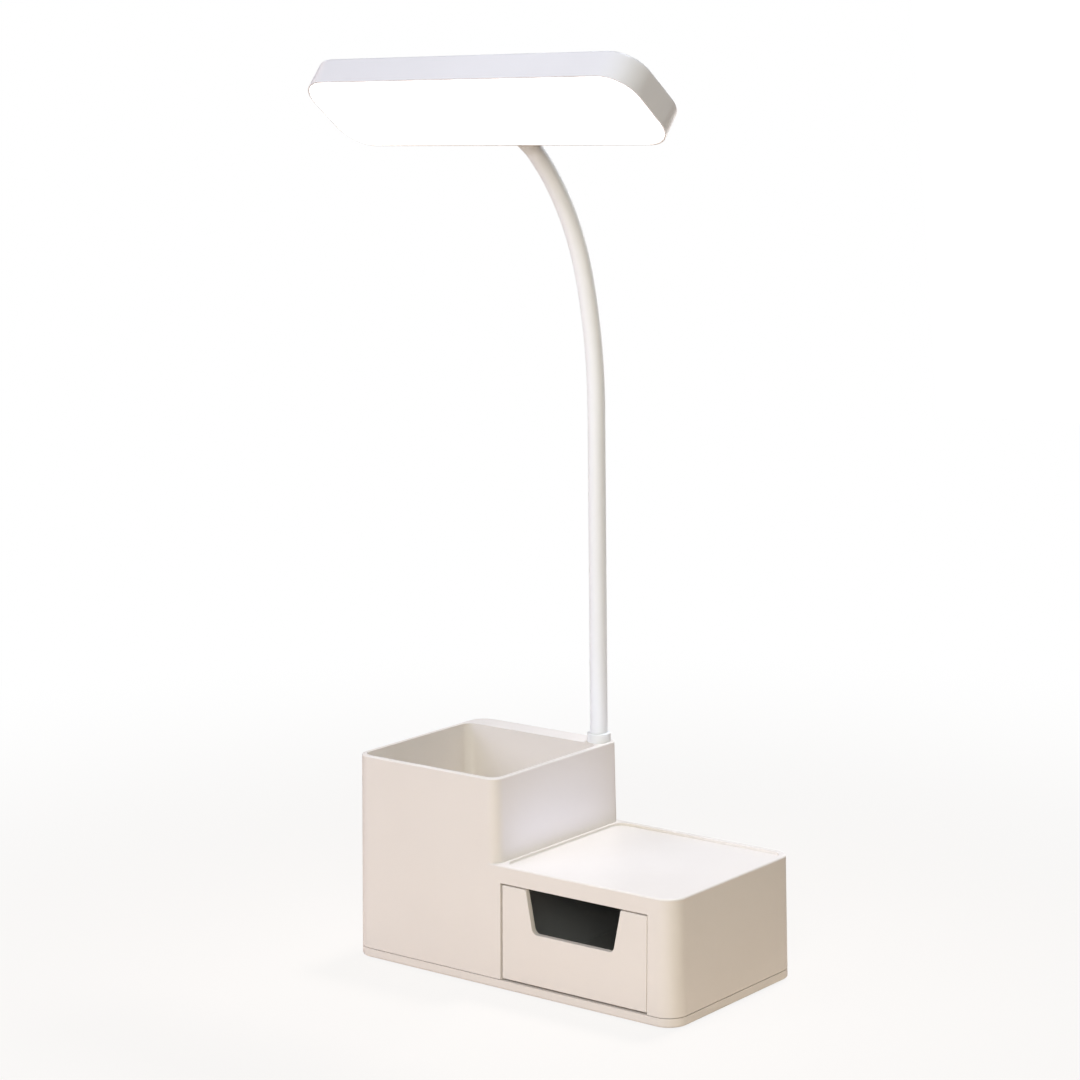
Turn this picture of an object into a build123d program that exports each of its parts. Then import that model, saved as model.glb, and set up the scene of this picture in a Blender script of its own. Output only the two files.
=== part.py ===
from build123d import *
import os
from math import cos, radians, sin, tan

# Desk lamp on a pen cup and drawer base. Millimetres, +Z up, X to the right along the front, Y to the back.
# The origin is on the desk, at the centre of the anti-slip pad's face under the middle of the base.

# Base: a low box with a drawer, and a tall box with a cup, drafted inwards as they rise
BASE_WIDTH = 190.0
BASE_DEPTH = 99.0
BASE_CORNER_R = 10.0
LOW_HEIGHT = 60.0
TALL_HEIGHT = 100.0
TALL_WIDTH = 90.0
TALL_STEP_CORNER_R = 7.0
DRAFT = 1.0
WALL = 2.6
RIM_EDGE_R = 0.7
LOW_EDGE_R = 1.0

# Cup, shallow top tray and hollow under the cup
CUP_REAR_STRIP = 13.2
CUP_CORNER_R = 5.0
CUP_FLOOR = 2.6
CUP_FLOOR_R = 1.5
TRAY_RIM = 3.2
TRAY_DEPTH = 1.4
TRAY_CORNER_R = 6.0
TRAY_FLOOR_R = 0.6
DUCT_WALL = 2.2
HOLLOW_CUP_WALL = 1.0

# Base plate and pad
PAD_INSET_X = 20.0
PAD_INSET_Y = 13.5
PAD_THICKNESS = 1.5
PAD_CORNER_R = 8.0
PLATE_LIFT = 0.8
PLATE_FLOOR = 2.5
PLATE_RIM_Z = 5.0
PLATE_RIM = 2.4
PLATE_EDGE_R = 0.9
SEAM_GAP = 0.35
LIP_WALL = 1.4
LIP_HEIGHT = 4.5
FIT_GAP = 0.15

# Drawer, its bay and its stop
BAY_LEFT_INSET = 0.9
BAY_RIGHT_INSET = 15.0
BAY_HEADER = 8.4
BAY_REAR_WALL = 4.5
DRAWER_GAP = 0.8
DRAWER_LEFT_GAP = 1.1
DRAWER_RIGHT_GAP = 0.4
DRAWER_EDGE_R = 0.4
DRAWER_FRONT = 2.6
DRAWER_WALL = 2.0
DRAWER_FLOOR = 2.0
DRAWER_SIDE_GAP = 1.6
DRAWER_REAR_GAP = 2.5
DRAWER_LIFT = 0.3
DRAWER_SIDE_DROP = 2.35
DRAWER_CORNER_R = 3.0
DRAWER_TRAVEL = 65.0
STOP_RIB = 2.0
STOP_RIB_DEPTH = 3.8
STOP_GAP = 0.3
LUG_HEIGHT = 2.6
RAIL_WIDTH = 2.0
RAIL_INSET = 12.0

# Finger notch, open at the top of the drawer's front
NOTCH_TOP_WIDTH = 54.1
NOTCH_FLOOR_WIDTH = 46.0
NOTCH_DEPTH = 20.3
NOTCH_CORNER_R = 3.0

# Screws that hold the plate to the housing
SCREW_LEFT_INSET = 10.0
SCREW_RIGHT_INSET = 8.0
SCREW_INSET_Y = 9.5
SCREW_R = 1.2
SCREW_HEAD_R = 2.6
SCREW_HEAD = 1.7
SCREW_LENGTH = 13.0
SCREW_SLOT = 0.7
SCREW_GAP = 0.05
BOSS_R = 3.1

# Gooseneck: straight up out of the base, then an easy bend and a tight one, all in one upright plane
NECK_INSET_X = 8.8
NECK_INSET_Y = 8.3
NECK_AZIMUTH = 3.0
NECK_STRAIGHT = 162.0
NECK_EASY_LENGTH = 65.4
NECK_EASY_TURN = 14.6
NECK_TIGHT_LENGTH = 82.0
NECK_TIGHT_TURN = 36.5
SLEEVE_R = 4.25
CORE_R = 2.5
NECK_FIT = 0.05
BALL_GAP = 0.2
FIRST_PIVOT = 20.0
LAST_PIVOT_BACK = 18.3
NECK_LINKS = 7

# Gooseneck's foot: ferrule, collar, washer and nut
STUD_R = 2.5
STUD_LENGTH = 14.0
STUD_BORE_R = 1.4
FLANGE_R = 5.0
FLANGE = 1.2
FERRULE_CUP_R = 3.4
FERRULE_CUP = 10.0
COLLAR_R = 5.75
COLLAR_HEIGHT = 4.5
WASHER_R = 4.9
WASHER = 1.2
NUT_FLATS = 8.0
NUT = 5.0
NECK_SEAT = 4.0
NUT_CHANNEL_GAP = 0.3

# Head: a flat rounded bar whose light face looks down and to the front
HEAD_LENGTH = 195.0
HEAD_DEPTH = 48.7
HEAD_THICKNESS = 14.0
HEAD_CORNER_R = 15.2
HEAD_ROLL = 1.1
HEAD_WALL = 1.8
HEAD_TOP = 2.0
HEAD_EDGE_R = 1.6
DIFFUSER_RIM = 0.9
DIFFUSER = 1.6
DIFFUSER_CROWN = 0.5
DIFFUSER_SKIRT = 1.2
DIFFUSER_SKIRT_HEIGHT = 4.5
DIFFUSER_EDGE_R = 0.5
SKIRT_BREAK = 8.0
BOARD_MARGIN = 8.0
LED_BOARD = 1.2
LED_BOARD_Z = 7.6
LED_COLUMNS = 14
LED_PITCH = 12.6
LED_ROW_GAP = 15.0
LED_SIZE = 3.0
LED_HEIGHT = 0.7
REFLECTOR = 0.4
REFLECTOR_WINDOW = 4.2
HEAD_POST_R = 2.8
HEAD_POST_X = 60.0

# Socket that joins the neck to the head's rear wall, square to it
SOCKET_X = 3.6
SOCKET_Z = 7.2
SOCKET_R = 5.15
SOCKET_NECK_R = 4.75
SOCKET_LENGTH = 10.0
SOCKET_CUP = 4.0
SOCKET_STUD = 6.0
HEAD_STUD_R = 2.4
HEAD_STUD_BORE_R = 1.2
HEAD_NUT_FLATS = 6.6
HEAD_NUT = 2.6

# Electrics under the cup
BATTERY_R = 9.4
BATTERY_INSET_Y = 17.0
BATTERY_END_GAP = 1.1
BATTERY_GAP = 0.25
BATTERY_HEADROOM = 0.1
CELL_BUTTON = 1.0
HOLDER_WALL = 1.2
HOLDER_HEIGHT = 10.0
CONTACT = 0.5
BALLAST_HEIGHT = 11.0
BALLAST_SPACE = 3.5
BALLAST_SCREW_INSET = 6.0
CONTROL_BOARD = 1.6
CONTROL_BOARD_DEPTH = 26.0
CONTROL_BOARD_LEFT_SPACE = 7.0
CONTROL_BOARD_RIGHT_SPACE = 9.6
CONTROL_BOARD_INSET_Y = 6.5
POST_HEIGHT = 4.0
POST_R = 2.8
POST_INSET = 5.0
POST_END = 1.0
SMALL_HEAD_R = 2.2
LEAD_R = 1.2
LEAD_BEND_R = 4.0

# USB socket and power button in the rear wall
USB_BOARD_X = 18.0
USB_WIDTH = 9.0
USB_HEIGHT = 3.2
USB_DEPTH = 8.6
USB_MOUTH_BACK = 1.2
USB_SHELL = 0.35
USB_TONGUE = 0.7
USB_BACK = 1.0
USB_GAP = 0.3
USB_BEZEL = 1.6
BUTTON_BOARD_X = 16.0
BUTTON_Z = 14.0
BUTTON_R = 4.0
BUTTON_GAP = 0.1
BUTTON_PROUD = 1.4
BUTTON_TRAVEL = 0.8
BUTTON_FLANGE_R = 5.2
BUTTON_FLANGE = 1.2
BUTTON_DISH = 0.4
SWITCH_SIZE = 6.0
SWITCH_DEPTH = 4.0
PLUNGER_R = 1.7
PLUNGER_REACH = 1.2

SLOPE = tan(radians(DRAFT))
FRONT_Y = -BASE_DEPTH / 2
LEFT_X = -BASE_WIDTH / 2
PLATE_TOP_Z = PLATE_LIFT + PLATE_FLOOR
HOUSING_Z = PLATE_RIM_Z + SEAM_GAP
TALL_CENTRE_X = LEFT_X + TALL_WIDTH / 2
TALL_RIGHT_X = LEFT_X + TALL_WIDTH
CUP_CEILING_Z = PLATE_TOP_Z + HOLDER_WALL + 2 * BATTERY_R + BATTERY_HEADROOM
CUP_FLOOR_Z = CUP_CEILING_Z + CUP_FLOOR
BAY_LEFT_X = TALL_RIGHT_X + BAY_LEFT_INSET
BAY_RIGHT_X = -LEFT_X - BAY_RIGHT_INSET
BAY_TOP_Z = LOW_HEIGHT - BAY_HEADER
BAY_CEILING_Z = LOW_HEIGHT - TRAY_DEPTH - WALL
NOTCH_X = (BAY_LEFT_X + BAY_RIGHT_X) / 2
SCREW_LEFT_X = LEFT_X + SCREW_LEFT_INSET
SCREW_RIGHT_X = -LEFT_X - SCREW_RIGHT_INSET
SCREW_Y = -FRONT_Y - SCREW_INSET_Y
NECK_X = TALL_RIGHT_X - NECK_INSET_X
NECK_Y = -FRONT_Y - NECK_INSET_Y
NECK_LENGTH = NECK_STRAIGHT + NECK_EASY_LENGTH + NECK_TIGHT_LENGTH
NUT_CHANNEL = WASHER_R + NUT_CHANNEL_GAP
BOARD_Z = PLATE_TOP_Z + POST_HEIGHT
BATTERY_Y = FRONT_Y + BATTERY_INSET_Y
CONTROL_BOARD_X0 = SCREW_LEFT_X + CONTROL_BOARD_LEFT_SPACE
CONTROL_BOARD_Y1 = -FRONT_Y - CONTROL_BOARD_INSET_Y
CONTROL_BOARD_Y0 = CONTROL_BOARD_Y1 - CONTROL_BOARD_DEPTH
USB_X = CONTROL_BOARD_X0 + USB_BOARD_X


def block(x0, x1, y0, y1, z0, z1):
    """A box between two corners."""
    return Pos((x0 + x1) / 2, (y0 + y1) / 2, (z0 + z1) / 2) * Box(x1 - x0, y1 - y0, z1 - z0)


def post(x, y, z0, z1, radius):
    """An upright cylinder between two heights."""
    return Pos(x, y, (z0 + z1) / 2) * Cylinder(radius, z1 - z0)


def rod(start, direction, length, radius):
    """A cylinder from a point along a direction."""
    plane = Plane(origin=start, z_dir=direction)
    return plane * Pos(0, 0, length / 2) * Cylinder(radius, length)


def drafted_block(width, depth, height, left_r, right_r, centre_x):
    """A box with rounded upright corners that stands on the desk plane and draws in as it rises."""
    outline = Rectangle(width, depth)
    outline = fillet(outline.vertices().group_by(Axis.X)[0], left_r)
    outline = fillet(outline.vertices().group_by(Axis.X)[-1], right_r)
    return Pos(centre_x, 0, 0) * extrude(outline, amount=height, taper=DRAFT)


def drafted_pocket(x0, x1, y0, y1, corner_r, top_z, depth, floor_r):
    """A pocket cut down from a height, narrower towards its rounded floor."""
    outline = RectangleRounded(x1 - x0, y1 - y0, corner_r)
    mouth = Plane(origin=((x0 + x1) / 2, (y0 + y1) / 2, top_z), x_dir=(1, 0, 0), z_dir=(0, 0, -1))
    pocket = mouth * extrude(outline, amount=depth, taper=DRAFT)
    return fillet(pocket.faces().sort_by(Axis.Z)[0].edges(), floor_r)


def hollow_x1():
    """The right-hand limit of the hollow under the cup."""
    return cup_limits()[1] - HOLLOW_CUP_WALL


def partition_x():
    """The middle of the wall between the hollow under the cup and the drawer's bay."""
    return (hollow_x1() + BAY_LEFT_X) / 2


def screw_places():
    """The plate's six screws: left, under the partition and right, front and back."""
    return [(x, y) for x in (SCREW_LEFT_X, partition_x(), SCREW_RIGHT_X) for y in (-SCREW_Y, SCREW_Y)]


def board_x1():
    """The right-hand edge of the control board."""
    return hollow_x1() - CONTROL_BOARD_RIGHT_SPACE


def button_x():
    """The power button's place along the rear wall."""
    return board_x1() - BUTTON_BOARD_X


def countersunk_screw(radius, head_r, head, length, slot):
    """A countersunk screw with its head's face at z = 0 and its shank upwards."""
    body = Pos(0, 0, head / 2) * Cone(head_r, radius, head)
    body += Pos(0, 0, (head + length) / 2) * Cylinder(radius, length - head)
    for turn in (0, 90):
        body -= Rot(0, 0, turn) * Pos(0, 0, slot / 2) * Box(1.3 * head_r, slot, slot)
    return body


def pan_screw(radius, head_r, head, length):
    """A pan-head screw with its head on top and its shank downwards from z = 0."""
    body = Pos(0, 0, head / 2) * Cylinder(head_r, head)
    body += Pos(0, 0, -length / 2) * Cylinder(radius, length)
    body -= Pos(0, 0, head) * Box(1.2 * head_r, head / 2, head)
    return body


def base_form():
    """The outer form of the housing and plate together, with the cup's and low box's rounded rims."""
    low = drafted_block(BASE_WIDTH, BASE_DEPTH, LOW_HEIGHT, BASE_CORNER_R, BASE_CORNER_R, 0)
    low = fillet(low.faces().sort_by(Axis.Z)[-1].edges(), LOW_EDGE_R)
    tall = drafted_block(TALL_WIDTH, BASE_DEPTH, TALL_HEIGHT, BASE_CORNER_R, TALL_STEP_CORNER_R, TALL_CENTRE_X)
    tall = fillet(tall.faces().sort_by(Axis.Z)[-1].edges(), RIM_EDGE_R)
    return low + tall


def cup_limits():
    """The cup's mouth: left, right, front and back."""
    inset = TALL_HEIGHT * SLOPE + WALL
    return (LEFT_X + inset, TALL_RIGHT_X - inset,
            FRONT_Y + inset, -FRONT_Y - TALL_HEIGHT * SLOPE - CUP_REAR_STRIP)


def base_housing():
    """The moulded housing: cup, top tray, drawer bay, rear duct for the neck, bosses and rear openings."""
    body = base_form() - block(LEFT_X, -LEFT_X, FRONT_Y, -FRONT_Y, -1, HOUSING_Z)
    x0, x1, y0, y1 = cup_limits()
    body -= drafted_pocket(x0, x1, y0, y1, CUP_CORNER_R, TALL_HEIGHT, TALL_HEIGHT - CUP_FLOOR_Z, CUP_FLOOR_R)

    tray_x0 = TALL_RIGHT_X - LOW_HEIGHT * SLOPE + TRAY_RIM / 2
    tray_x1 = -LEFT_X - LOW_HEIGHT * SLOPE - TRAY_RIM
    tray_y = -FRONT_Y - LOW_HEIGHT * SLOPE - TRAY_RIM
    body -= drafted_pocket(tray_x0, tray_x1, -tray_y, tray_y, TRAY_CORNER_R, LOW_HEIGHT, TRAY_DEPTH,
                           TRAY_FLOOR_R)

    hollow = drafted_block(TALL_WIDTH - 2 * WALL, BASE_DEPTH - 2 * WALL, CUP_CEILING_Z,
                           BASE_CORNER_R - WALL, BASE_CORNER_R - WALL, TALL_CENTRE_X)
    hollow -= block(hollow_x1(), 0, FRONT_Y, -FRONT_Y, -1, CUP_FLOOR_Z)
    body -= hollow
    duct_y0 = y1 + DUCT_WALL
    duct_y1 = -FRONT_Y - TALL_HEIGHT * SLOPE - DUCT_WALL
    seat_z = TALL_HEIGHT - NECK_SEAT
    channel_y0, channel_y1 = NECK_Y - NUT_CHANNEL, NECK_Y + NUT_CHANNEL
    body -= block(x0 + CUP_CORNER_R, hollow_x1(), duct_y0, duct_y1, HOUSING_Z - 1, seat_z)
    body -= block(NECK_X - NUT_CHANNEL, hollow_x1(), channel_y0, channel_y1, HOUSING_Z - 1, seat_z)
    body -= block(NECK_X, NECK_X + NUT_CHANNEL, channel_y0, channel_y1, seat_z - 3 * NUT, seat_z)
    body -= post(NECK_X, NECK_Y, TALL_HEIGHT - 2 * NECK_SEAT, TALL_HEIGHT + 1, STUD_R + NECK_FIT)

    bay_y1 = -FRONT_Y - BAY_REAR_WALL - SLOPE * LOW_HEIGHT
    body -= block(BAY_LEFT_X, BAY_RIGHT_X, FRONT_Y - 1, bay_y1, HOUSING_Z - 1, BAY_TOP_Z)
    body -= block(BAY_LEFT_X, BAY_RIGHT_X, header_y(), bay_y1, BAY_TOP_Z - 1, BAY_CEILING_Z)
    body += block(BAY_LEFT_X, BAY_RIGHT_X, stop_y() - STOP_RIB, stop_y(),
                  BAY_CEILING_Z - STOP_RIB_DEPTH, BAY_CEILING_Z)
    side_x1 = -LEFT_X - LOW_HEIGHT * SLOPE - WALL
    body -= block(BAY_RIGHT_X + WALL, side_x1, -SCREW_Y + 2 * BOSS_R, SCREW_Y - 2 * BOSS_R,
                  HOUSING_Z - 1, BAY_CEILING_Z)

    for x, y in screw_places():
        top = CUP_CEILING_Z if x == SCREW_LEFT_X else HOUSING_Z + 1
        body += post(x, y, PLATE_TOP_Z, top, BOSS_R)
        body -= post(x, y, PLATE_TOP_Z - 1, PLATE_TOP_Z + SCREW_LENGTH, SCREW_R + SCREW_GAP)
    body -= usb_opening()
    body -= rod((button_x(), rear_y(BUTTON_Z) + 1, BUTTON_Z), (0, -1, 0), WALL + 2, BUTTON_R + BUTTON_GAP)
    return body


def rear_y(z):
    """The rear wall's outer face at a height."""
    return -FRONT_Y - z * SLOPE


def header_y():
    """The inner face of the bar above the drawer's front."""
    return FRONT_Y + LOW_HEIGHT * SLOPE + WALL


def stop_y():
    """The rear face of the rib that stops the open drawer."""
    return drawer_rear_y() - DRAWER_WALL - STOP_GAP - DRAWER_TRAVEL


def drawer_rear_y():
    """The drawer's rear face when shut."""
    return -FRONT_Y - BAY_REAR_WALL - SLOPE * LOW_HEIGHT - DRAWER_REAR_GAP


def usb_opening():
    """The slot for the USB socket through the rear wall, with a shallow plug recess round it."""
    z = BOARD_Z + CONTROL_BOARD + USB_HEIGHT / 2
    rear = Plane(origin=(USB_X, rear_y(z) + 1, z), x_dir=(1, 0, 0), z_dir=(0, -1, 0))
    height = USB_HEIGHT + 2 * USB_GAP
    slot = rear * extrude(SlotOverall(USB_WIDTH + 2 * USB_GAP, height), amount=WALL + 2)
    recess = SlotOverall(USB_WIDTH + 2 * USB_BEZEL, USB_HEIGHT + 2 * USB_BEZEL)
    recess = extrude(recess, amount=1 + USB_MOUTH_BACK)
    return slot + rear * recess


def base_plate():
    """The bottom plate: rim, locating lip, drawer rails, board posts, countersunk holes and pad recess."""
    form = drafted_block(BASE_WIDTH, BASE_DEPTH, PLATE_RIM_Z, BASE_CORNER_R, BASE_CORNER_R, 0)
    body = form - block(LEFT_X, -LEFT_X, FRONT_Y, -FRONT_Y, -1, PLATE_LIFT)
    body = fillet(body.faces().sort_by(Axis.Z)[0].edges(), PLATE_EDGE_R)
    inner = RectangleRounded(BASE_WIDTH - 2 * PLATE_RIM, BASE_DEPTH - 2 * PLATE_RIM, BASE_CORNER_R - PLATE_RIM)
    body -= Pos(0, 0, PLATE_TOP_Z) * extrude(inner, amount=PLATE_RIM_Z)

    lip_inset = WALL + FIT_GAP + SLOPE * PLATE_RIM_Z
    lip = RectangleRounded(BASE_WIDTH - 2 * lip_inset, BASE_DEPTH - 2 * lip_inset, BASE_CORNER_R - lip_inset)
    lip = lip - offset(lip, -LIP_WALL)
    lip = Pos(0, 0, PLATE_TOP_Z - 0.5) * extrude(lip, amount=LIP_HEIGHT + 0.5, taper=DRAFT / 2)
    body += lip & block(LEFT_X, hollow_x1() - BOSS_R, FRONT_Y, -FRONT_Y, 0, 2 * PLATE_RIM_Z)

    rail_z = PLATE_RIM_Z + SEAM_GAP + DRAWER_GAP
    for x in (BAY_LEFT_X + RAIL_INSET, BAY_RIGHT_X - RAIL_INSET):
        body += block(x - RAIL_WIDTH / 2, x + RAIL_WIDTH / 2, FRONT_Y + 2 * PLATE_RIM, drawer_rear_y(),
                      PLATE_TOP_Z - 0.5, rail_z)
    for x, y in board_posts():
        body += post(x, y, PLATE_TOP_Z - 0.5, BOARD_Z, POST_R)
        body -= post(x, y, PLATE_TOP_Z, BOARD_Z + 1, SCREW_R - NECK_FIT)
    for x, y in screw_places():
        body -= post(x, y, 0, PLATE_RIM_Z + 1, SCREW_R + FIT_GAP)
        sink = Cone(SCREW_HEAD_R + FIT_GAP, SCREW_R + FIT_GAP, SCREW_HEAD)
        body -= Pos(x, y, PLATE_LIFT + SCREW_HEAD / 2) * sink
    return body - extrude(offset(pad_outline(), FIT_GAP), amount=PAD_THICKNESS)


def pad_outline():
    """The pad's rounded outline, set in from the base's sides."""
    return RectangleRounded(BASE_WIDTH - 2 * PAD_INSET_X, BASE_DEPTH - 2 * PAD_INSET_Y, PAD_CORNER_R)


def anti_slip_pad():
    """The rubber pad under the plate, with rounded corners."""
    return extrude(pad_outline(), amount=PAD_THICKNESS)


def base_screws():
    """The six countersunk screws, each a solid of its own."""
    screw = countersunk_screw(SCREW_R, SCREW_HEAD_R, SCREW_HEAD, SCREW_LENGTH, SCREW_SLOT)
    return [Pos(x, y, PLATE_LIFT) * screw for x, y in screw_places()]


def drawer():
    """The drawer: a front that follows the draft, a finger notch, a tray and a stop lug on its rear wall."""
    x0 = BAY_LEFT_X + DRAWER_LEFT_GAP
    x1 = BAY_RIGHT_X - DRAWER_RIGHT_GAP
    z0 = HOUSING_Z + DRAWER_GAP
    z1 = BAY_TOP_Z - DRAWER_GAP
    tray_z0 = z0 + DRAWER_LIFT
    tray_x0 = BAY_LEFT_X + DRAWER_SIDE_GAP
    tray_x1 = BAY_RIGHT_X - DRAWER_SIDE_GAP
    inner_y = FRONT_Y + z1 * SLOPE + DRAWER_FRONT
    rear = drawer_rear_y()
    plain = drafted_block(BASE_WIDTH, BASE_DEPTH, LOW_HEIGHT, BASE_CORNER_R, BASE_CORNER_R, 0)
    body = plain & block(x0, x1, FRONT_Y, inner_y, z0, z1)
    body = fillet(body.faces().sort_by(Axis.Y)[0].edges(), DRAWER_EDGE_R)
    tray = Rectangle(tray_x1 - tray_x0, rear - inner_y + DRAWER_CORNER_R)
    tray = fillet(tray.vertices(), DRAWER_CORNER_R)
    centre = Pos((tray_x0 + tray_x1) / 2, (rear + inner_y - DRAWER_CORNER_R) / 2, tray_z0)
    side = z1 - DRAWER_SIDE_DROP - tray_z0
    shell = extrude(tray, amount=side)
    shell -= Pos(0, 0, DRAWER_FLOOR) * extrude(offset(tray, -DRAWER_WALL), amount=side)
    body += centre * shell & block(x0, x1, inner_y - 0.5, rear + 1, z0, z1)
    lug_z = BAY_CEILING_Z - STOP_RIB_DEPTH + LUG_HEIGHT
    middle = (x0 + x1) / 2
    body += block(middle - NOTCH_FLOOR_WIDTH / 2, middle + NOTCH_FLOOR_WIDTH / 2, rear - DRAWER_WALL, rear,
                  z1 - DRAWER_SIDE_DROP - 1, lug_z)
    notch_z0 = z1 - NOTCH_DEPTH
    notch = Polygon((-NOTCH_FLOOR_WIDTH / 2, notch_z0), (NOTCH_FLOOR_WIDTH / 2, notch_z0),
                    (NOTCH_TOP_WIDTH / 2, z1), (NOTCH_TOP_WIDTH / 2, z1 + 2),
                    (-NOTCH_TOP_WIDTH / 2, z1 + 2), (-NOTCH_TOP_WIDTH / 2, z1), align=None)
    notch = fillet(notch.vertices().group_by(Axis.Y)[0], NOTCH_CORNER_R)
    front = Plane(origin=(NOTCH_X, inner_y + 1, 0), x_dir=(1, 0, 0), z_dir=(0, -1, 0))
    return body - front * extrude(notch, amount=2 * DRAWER_FRONT + 1)


def neck_turns():
    """The neck's spans from its foot: length along the neck and turn in degrees."""
    return ((NECK_STRAIGHT, 0.0), (NECK_EASY_LENGTH, NECK_EASY_TURN), (NECK_TIGHT_LENGTH, NECK_TIGHT_TURN))


def neck_point(along):
    """The point of the neck's centre line at a length from its foot, and its direction there."""
    forward, height, heading, left = 0.0, 0.0, 0.0, along
    for length, turn in neck_turns():
        step = max(0.0, min(left, length))
        if length == NECK_TIGHT_LENGTH:
            step = max(0.0, left)
        left -= step
        rate = radians(turn) / length
        if rate:
            turned = heading + rate * step
            forward += (cos(heading) - cos(turned)) / rate
            height += (sin(turned) - sin(heading)) / rate
            heading = turned
        else:
            height += step
    ahead = (-sin(radians(NECK_AZIMUTH)), -cos(radians(NECK_AZIMUTH)))
    place = (NECK_X + ahead[0] * forward, NECK_Y + ahead[1] * forward, TALL_HEIGHT + height)
    return place, (ahead[0] * sin(heading), ahead[1] * sin(heading), cos(heading))


def neck_tube(start, end, radius):
    """A round bar along the neck's centre line between two lengths from its foot."""
    marks = [start, end]
    reached = 0.0
    for length, _ in neck_turns():
        reached += length
        if start < reached < end:
            marks.append(reached)
    marks.sort()
    edges = []
    for low, high in zip(marks, marks[1:]):
        (p0, t0), (p1, t1) = neck_point(low), neck_point(high)
        straight = Vector(*t0).get_angle(Vector(*t1)) < 0.01
        edges.append(Edge.make_line(p0, p1) if straight else Edge.make_tangent_arc(p0, t0, p1))
    place, direction = neck_point(start)
    return sweep(Plane(origin=place, z_dir=direction) * Circle(radius), path=Wire(edges))


def pivots():
    """Lengths from the foot at which the gooseneck bends."""
    last = NECK_LENGTH - LAST_PIVOT_BACK
    return [FIRST_PIVOT + (last - FIRST_PIVOT) * k / NECK_LINKS for k in range(NECK_LINKS + 1)]


def ball(along, radius):
    """A ball on the neck's centre line."""
    place, direction = neck_point(along)
    return Plane(origin=place, z_dir=direction) * Sphere(radius)


def sleeve_link(start, end):
    """One stretch of sleeve: a cup over the ball below it, a ball at its top and a bore for its core."""
    body = neck_tube(start, end, SLEEVE_R) + ball(end, SLEEVE_R)
    body -= ball(start, SLEEVE_R + BALL_GAP)
    return body - neck_tube(start + SLEEVE_R - 1, end + CORE_R, CORE_R + NECK_FIT)


def core_link(start, end):
    """One stretch of the steel core, inside its sleeve."""
    return neck_tube(start + SLEEVE_R + 2 * BALL_GAP, end + CORE_R - NECK_FIT, CORE_R)


def sleeve_root():
    """The sleeve's fixed foot, pushed over the ferrule."""
    first = pivots()[0]
    body = neck_tube(FLANGE + NECK_FIT, first, SLEEVE_R) + ball(first, SLEEVE_R)
    body -= neck_tube(0, FERRULE_CUP + NECK_FIT, FERRULE_CUP_R + NECK_FIT)
    return body - neck_tube(0, first + CORE_R, CORE_R + NECK_FIT)


def core_root():
    """The core's fixed foot, crimped in the ferrule."""
    return neck_tube(2 * FLANGE + NECK_FIT, pivots()[0] + CORE_R - NECK_FIT, CORE_R)


def sleeve_tip():
    """The sleeve's last stretch, which ends in the head's socket."""
    last = pivots()[-1]
    body = neck_tube(last, NECK_LENGTH - SOCKET_LENGTH + SOCKET_CUP - NECK_FIT, SLEEVE_R)
    body -= ball(last, SLEEVE_R + BALL_GAP)
    return body - neck_tube(last + SLEEVE_R - 1, NECK_LENGTH, CORE_R + NECK_FIT)


def core_tip():
    """The core's last stretch, crimped in the head's socket."""
    return neck_tube(pivots()[-1] + SLEEVE_R + 2 * BALL_GAP, NECK_LENGTH - FLANGE, CORE_R)


def neck_ferrule():
    """The steel end of the gooseneck: stud, flange and crimp cup, bored for the lead."""
    z = TALL_HEIGHT
    body = post(NECK_X, NECK_Y, z - STUD_LENGTH, z + FLANGE, STUD_R)
    body += post(NECK_X, NECK_Y, z, z + FLANGE, FLANGE_R)
    body += post(NECK_X, NECK_Y, z, z + FERRULE_CUP, FERRULE_CUP_R)
    body -= post(NECK_X, NECK_Y, z - STUD_LENGTH, z + FERRULE_CUP, STUD_BORE_R)
    return body - post(NECK_X, NECK_Y, z + 2 * FLANGE, z + FERRULE_CUP, CORE_R + NECK_FIT)


def neck_collar():
    """The ring that hides the ferrule's flange where the neck leaves the housing."""
    z = TALL_HEIGHT
    body = post(NECK_X, NECK_Y, z, z + COLLAR_HEIGHT, COLLAR_R)
    body = fillet(body.faces().sort_by(Axis.Z)[-1].edges(), RIM_EDGE_R)
    body -= post(NECK_X, NECK_Y, z, z + FLANGE + NECK_FIT, FLANGE_R + NECK_FIT)
    return body - post(NECK_X, NECK_Y, z, z + COLLAR_HEIGHT, SLEEVE_R + NECK_FIT)


def neck_washer():
    """The washer under the housing's top, round the stud."""
    z = TALL_HEIGHT - NECK_SEAT
    disc = post(NECK_X, NECK_Y, z - WASHER, z, WASHER_R)
    return disc - post(NECK_X, NECK_Y, z - WASHER, z, STUD_R + NECK_FIT)


def hex_nut(flats, thickness, bore_r):
    """A hexagon nut that stands on z = 0."""
    body = extrude(RegularPolygon(flats / 2, 6, major_radius=False), amount=thickness)
    return body - Pos(0, 0, thickness / 2) * Cylinder(bore_r, thickness)


def neck_nut():
    """The nut that holds the gooseneck's stud."""
    z = TALL_HEIGHT - NECK_SEAT - WASHER - NUT
    return Pos(NECK_X, NECK_Y, z) * hex_nut(NUT_FLATS, NUT, STUD_R + NECK_FIT)


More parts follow.
